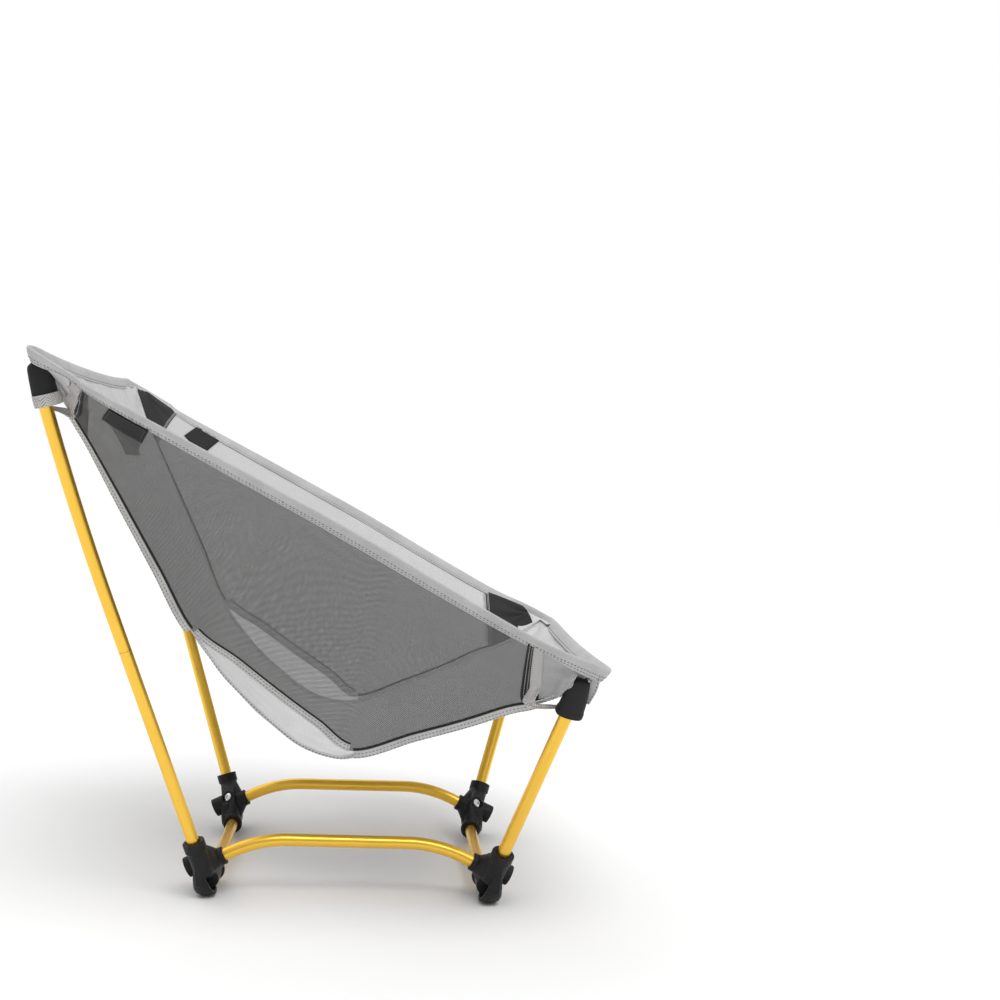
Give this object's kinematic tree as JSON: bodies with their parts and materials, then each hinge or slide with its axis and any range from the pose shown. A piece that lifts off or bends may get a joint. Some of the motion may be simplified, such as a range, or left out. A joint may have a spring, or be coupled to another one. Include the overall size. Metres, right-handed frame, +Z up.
{
  "type": "backpacking chair",
  "caption": "Low, ultralight camp chair: sling seat of ripstop and mesh on a shock-corded aluminium tube frame with moulded corner hubs.",
  "frame": {"origin": "on the ground, under the middle of the chair's outer box", "axes": "-Y the way the sitter faces, X across the seat, +Z up"},
  "size_m": [0.5164, 0.4685, 0.4697],
  "materials": {
    "gold_tube": "gold anodised, satin",
    "black_plastic": "moulded, fine matte grain",
    "bright_screw": "bright plated",
    "raw_ferrule": "natural",
    "elastic_cord": "braided elastic cord",
    "grey_ripstop": "light grey ripstop",
    "dark_mesh": "open knitted mesh",
    "grey_hem": "folded ripstop hem",
    "black_fabric": "coated woven fabric",
    "grey_tape": "herringbone tape"
  },
  "bodies": {
    "base_left": {"hub_front_left": "black_plastic", "hub_rear_left": "black_plastic", "hub_screw_front_left": "bright_screw", "hub_screw_rear_left": "bright_screw", "side_rail_left": "gold_tube", "crossbar_front": "gold_tube", "crossbar_rear": "gold_tube", "crossbar_cord_front": "elastic_cord", "crossbar_cord_rear": "elastic_cord"},
    "base_right": {"hub_front_right": "black_plastic", "hub_rear_right": "black_plastic", "hub_screw_front_right": "bright_screw", "hub_screw_rear_right": "bright_screw", "side_rail_right": "gold_tube"},
    "front_upright_left": {"front_pole_left": "gold_tube", "pole_tip_front_left": "black_plastic", "pole_cord_front_left": "elastic_cord"},
    "rear_lower_left": {"rear_pole_lower_left": "gold_tube", "rear_ferrule_left": "raw_ferrule"},
    "rear_upper_left": {"rear_pole_upper_left": "gold_tube", "pole_tip_rear_left": "black_plastic", "pole_cord_rear_left": "elastic_cord"},
    "front_upright_right": {"front_pole_right": "gold_tube", "pole_tip_front_right": "black_plastic", "pole_cord_front_right": "elastic_cord"},
    "rear_lower_right": {"rear_pole_lower_right": "gold_tube", "rear_ferrule_right": "raw_ferrule"},
    "rear_upper_right": {"rear_pole_upper_right": "gold_tube", "pole_tip_rear_right": "black_plastic", "pole_cord_rear_right": "elastic_cord"},
    "seat": {"pole_sleeve_front_left": "black_fabric", "corner_lining_front_left": "black_fabric", "corner_strap_front_left": "grey_tape", "corner_patch_front_left": "grey_ripstop", "pole_sleeve_front_right": "black_fabric", "corner_lining_front_right": "black_fabric", "corner_strap_front_right": "grey_tape", "corner_patch_front_right": "grey_ripstop", "pole_sleeve_rear_left": "black_fabric", "corner_lining_rear_left": "black_fabric", "corner_strap_rear_left": "grey_tape", "corner_patch_rear_left": "grey_ripstop", "pole_sleeve_rear_right": "black_fabric", "corner_lining_rear_right": "black_fabric", "corner_strap_rear_right": "grey_tape", "corner_patch_rear_right": "grey_ripstop", "sleeve_tape_rear_left": "grey_tape", "side_mesh_left": "dark_mesh", "lash_loop_left": "black_fabric", "rim_left": "grey_hem", "sleeve_tape_rear_right": "grey_tape", "side_mesh_right": "dark_mesh", "lash_loop_right": "black_fabric", "rim_right": "grey_hem", "seat_panel": "grey_ripstop", "front_label": "black_fabric", "side_label": "black_fabric", "rim_back": "grey_hem", "rim_front": "grey_hem"}
  },
  "joints": [
    {"name": "seat_lift", "type": "slide", "parent": "base_left", "child": "seat", "axis": [0, 0, 1], "range_m": [0, 0.36], "deforming": ["pole_sleeve_front_left", "pole_sleeve_front_right", "pole_sleeve_rear_left", "pole_sleeve_rear_right", "sleeve_tape_rear_left", "sleeve_tape_rear_right"]},
    {"name": "base_right_pull", "type": "slide", "parent": "base_left", "child": "base_right", "axis": [1, 0, 0], "range_m": [0, 0.036]},
    {"name": "front_upright_left_pull", "type": "slide", "parent": "base_left", "child": "front_upright_left", "axis": [-0.4091, -0.2727, 0.8708], "range_m": [0, 0.036]},
    {"name": "rear_lower_left_pull", "type": "slide", "parent": "base_left", "child": "rear_lower_left", "axis": [-0.209, 0.2891, 0.9342], "range_m": [0, 0.036]},
    {"name": "rear_upper_left_pull", "type": "slide", "parent": "rear_lower_left", "child": "rear_upper_left", "axis": [-0.209, 0.2891, 0.9342], "range_m": [0, 0.036]},
    {"name": "front_upright_right_pull", "type": "slide", "parent": "base_right", "child": "front_upright_right", "axis": [0.4091, -0.2727, 0.8708], "range_m": [0, 0.036]},
    {"name": "rear_lower_right_pull", "type": "slide", "parent": "base_right", "child": "rear_lower_right", "axis": [0.209, 0.2891, 0.9342], "range_m": [0, 0.036]},
    {"name": "rear_upper_right_pull", "type": "slide", "parent": "rear_lower_right", "child": "rear_upper_right", "axis": [0.209, 0.2891, 0.9342], "range_m": [0, 0.036]}
  ],
  "couplings": [
    {"joint": "base_right_pull", "follows": "seat_lift", "ratio": 0.1},
    {"joint": "front_upright_left_pull", "follows": "seat_lift", "ratio": 0.1},
    {"joint": "rear_lower_left_pull", "follows": "seat_lift", "ratio": 0.1},
    {"joint": "rear_upper_left_pull", "follows": "seat_lift", "ratio": 0.1},
    {"joint": "front_upright_right_pull", "follows": "seat_lift", "ratio": 0.1},
    {"joint": "rear_lower_right_pull", "follows": "seat_lift", "ratio": 0.1},
    {"joint": "rear_upper_right_pull", "follows": "seat_lift", "ratio": 0.1}
  ]
}
